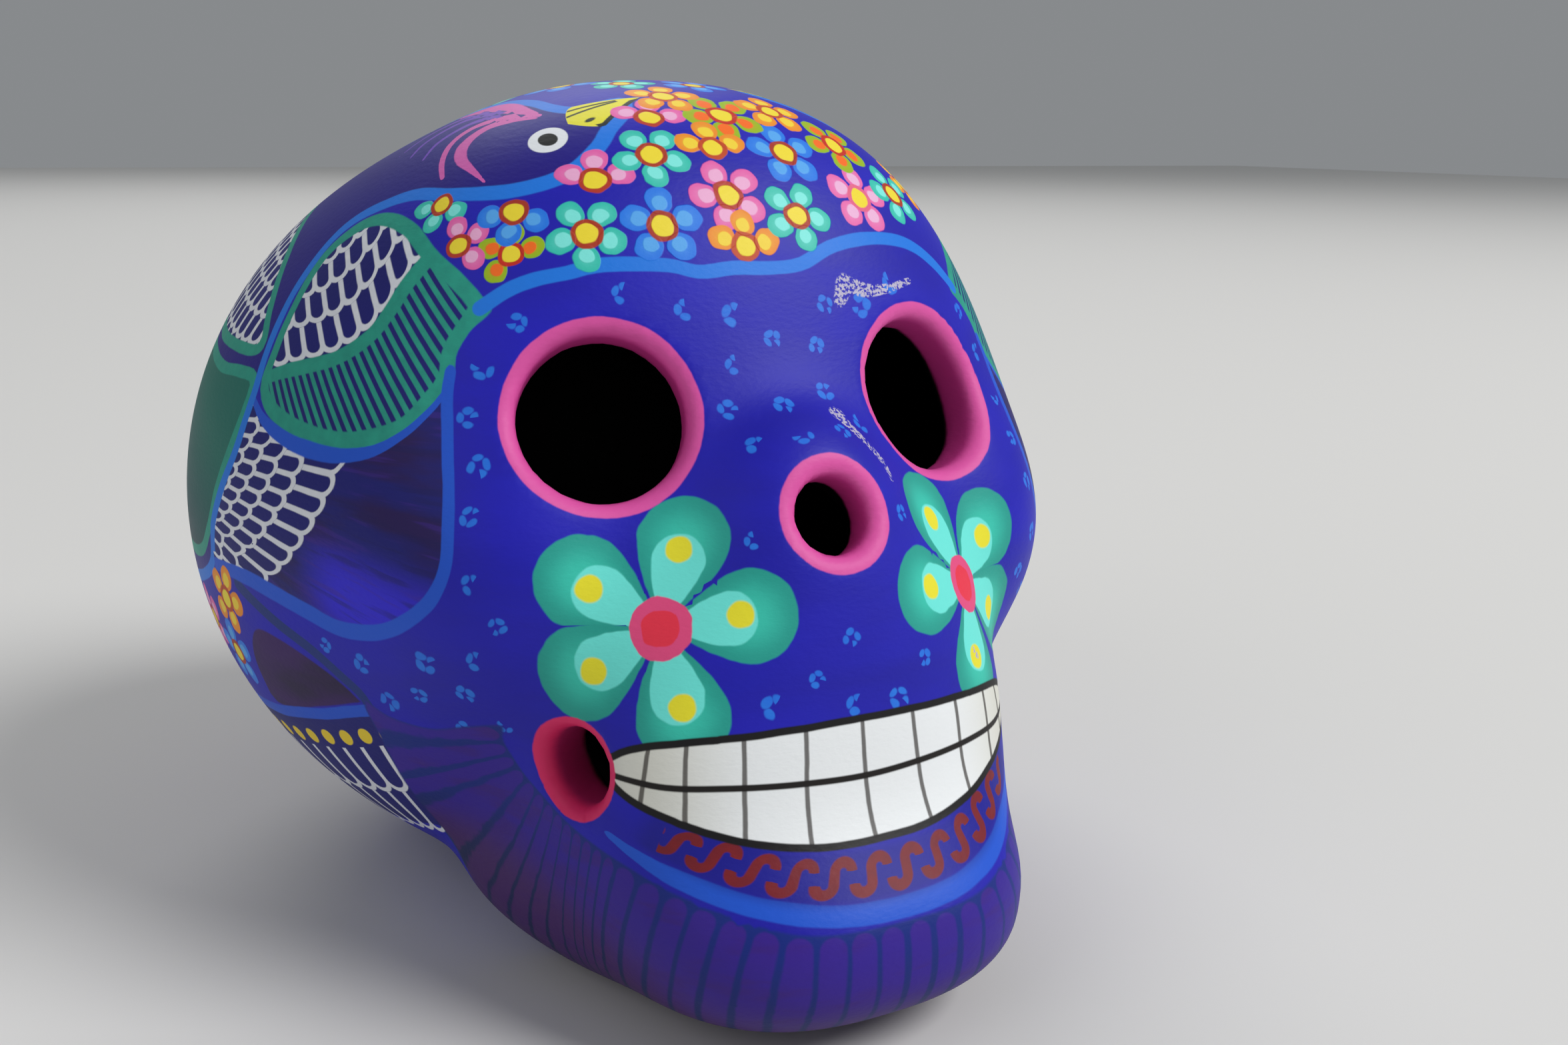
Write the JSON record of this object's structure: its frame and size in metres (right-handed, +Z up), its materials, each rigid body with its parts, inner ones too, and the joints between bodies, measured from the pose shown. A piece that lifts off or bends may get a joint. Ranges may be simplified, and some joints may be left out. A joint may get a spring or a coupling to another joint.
{
  "type": "painted skull sculpture",
  "caption": "Hollow fired-clay skull with eye, nose and cheek holes, painted all over with flowers, birds and bands, standing on its flat underside as an ornament.",
  "frame": {"origin": "on the surface that the skull stands on, below the middle of its bounding box", "axes": "+Z up, -Y is the way the face looks, +X is towards the skull's left side"},
  "size_m": [0.1338, 0.164, 0.1243],
  "materials": {
    "painted_clay": "satin paint"
  },
  "bodies": {
    "root": {"clay_skull": "painted_clay"}
  },
  "joints": []
}
